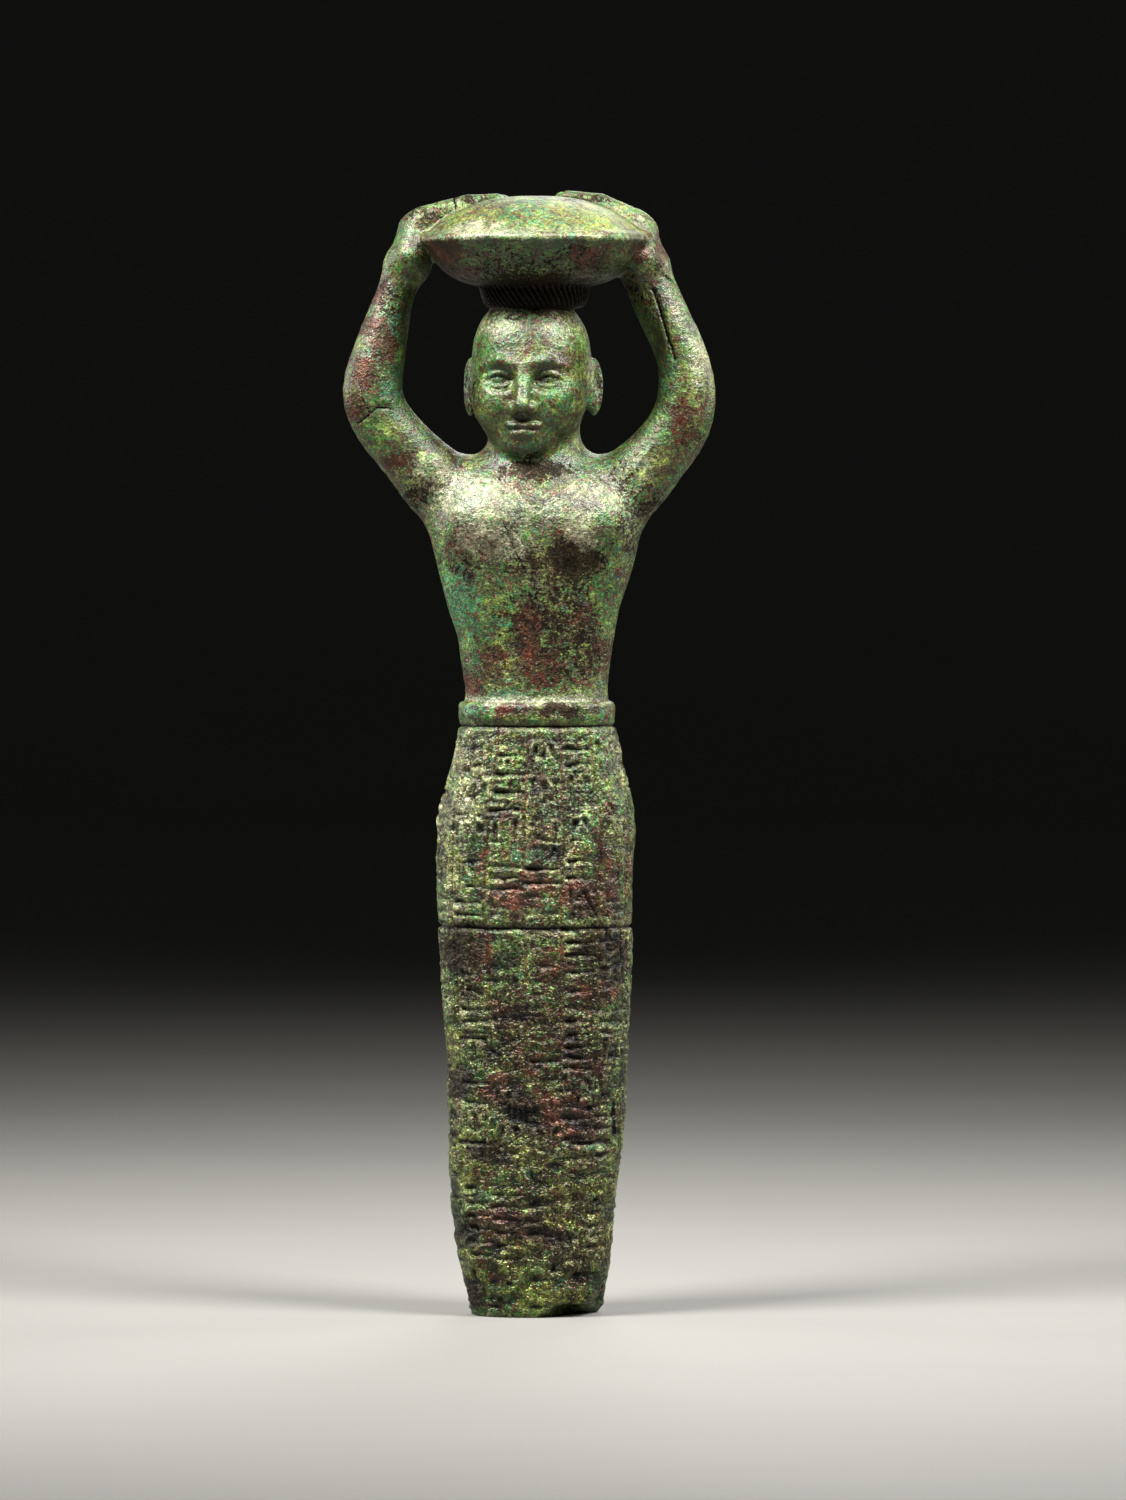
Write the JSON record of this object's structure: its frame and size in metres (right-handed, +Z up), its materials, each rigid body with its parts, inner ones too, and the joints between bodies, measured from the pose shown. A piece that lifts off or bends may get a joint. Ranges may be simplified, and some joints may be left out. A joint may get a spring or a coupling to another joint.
{
  "type": "foundation peg figurine",
  "caption": "Cast copper-alloy foundation peg: a bare-chested figure in a long skirt holding a heaped basket on its head.",
  "frame": {"origin": "middle of the flat underside of the peg", "axes": "+Z up along the standing figure, the figure faces -Y, +X to a viewer's right"},
  "size_m": [0.0894, 0.0556, 0.2699],
  "materials": {
    "bronze_patina": "corroded green and red-brown patina over cast copper alloy"
  },
  "bodies": {
    "root": {"figurine": "bronze_patina"}
  },
  "joints": []
}
